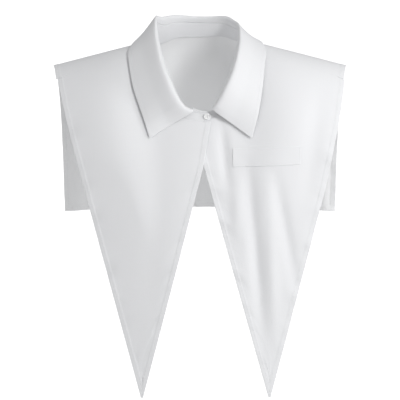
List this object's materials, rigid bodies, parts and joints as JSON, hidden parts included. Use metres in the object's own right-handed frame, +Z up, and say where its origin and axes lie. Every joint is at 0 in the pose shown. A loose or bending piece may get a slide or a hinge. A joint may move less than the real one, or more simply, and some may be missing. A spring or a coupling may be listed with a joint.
{
  "type": "detachable collar",
  "caption": "Detachable shirt collar with long pointed fronts lapping at the neck, a short straight back over the shoulders, a buttoned band and a pocket welt.",
  "frame": {"origin": "centre of the neck opening, level with the sides of the neck", "axes": "+Z up along the neck, -Y out of the front, +X towards the wearer's left"},
  "size_m": [0.382, 0.1964, 0.4852],
  "materials": {
    "cotton_poplin": "matt plain weave",
    "button_resin": "pearly"
  },
  "bodies": {
    "root": {"front_panel_right": "cotton_poplin", "front_panel_left": "cotton_poplin", "back_panel": "cotton_poplin", "collar_band": "cotton_poplin", "collar_leaf": "cotton_poplin", "pocket_welt": "cotton_poplin", "collar_button": "button_resin"}
  },
  "joints": []
}
